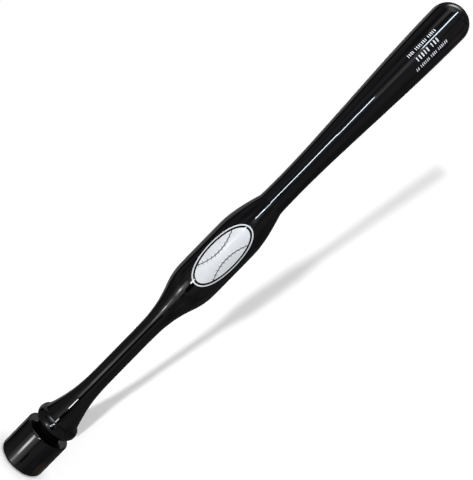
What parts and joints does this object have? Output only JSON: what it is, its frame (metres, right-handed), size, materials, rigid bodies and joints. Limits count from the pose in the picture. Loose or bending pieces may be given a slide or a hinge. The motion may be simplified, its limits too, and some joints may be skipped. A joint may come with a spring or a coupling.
{
  "type": "two-hand training bat",
  "caption": "Black lacquered wooden training bat with a swelling that parts the hands, a flared knob and a screw-on cylindrical counterweight.",
  "frame": {"origin": "middle of the counterweight's flat underside, where the bat stands", "axes": "+Z along the bat's axis towards the barrel's tip, printed marks face -Y, +X to the right seen from the marks"},
  "size_m": [0.0666, 0.0666, 0.8478],
  "materials": {
    "bat_lacquer": "black gloss lacquer on yellow birch, grain barely showing",
    "weight_lacquer": "black gloss lacquer on yellow birch, worn brown at the foot",
    "insert_brass": "machined",
    "print_film": "white print film under the clear coat, satin",
    "ring_rubber": "matt black",
    "slug_steel": "turned, lightly oiled",
    "zinc_steel": "bright zinc plate"
  },
  "bodies": {
    "bat": {"bat_body": "bat_lacquer", "threaded_insert": "insert_brass", "emblem_decal": "print_film", "label_line_left": "print_film", "label_line_middle": "print_film", "label_line_right": "print_film"},
    "spacer": {"neck_ring": "ring_rubber"},
    "end_weight": {"weight_shell": "weight_lacquer", "steel_slug": "slug_steel", "hex_bolt": "zinc_steel", "head_washer": "zinc_steel", "jam_nut": "zinc_steel", "bottom_plug": "weight_lacquer"}
  },
  "joints": [
    {"name": "weight_travel", "type": "slide", "parent": "bat", "child": "spacer", "axis": [0, 0, -1], "range_m": [0, 0.01565]},
    {"name": "weight_turn", "type": "hinge", "parent": "spacer", "child": "end_weight", "pos_m": [0, 0, 0.0565], "axis": [0, 0, -1], "range_deg": [0, 2880]}
  ],
  "couplings": [
    {"joint": "weight_travel", "follows": "weight_turn", "m_per_rad": 0.00031096}
  ]
}
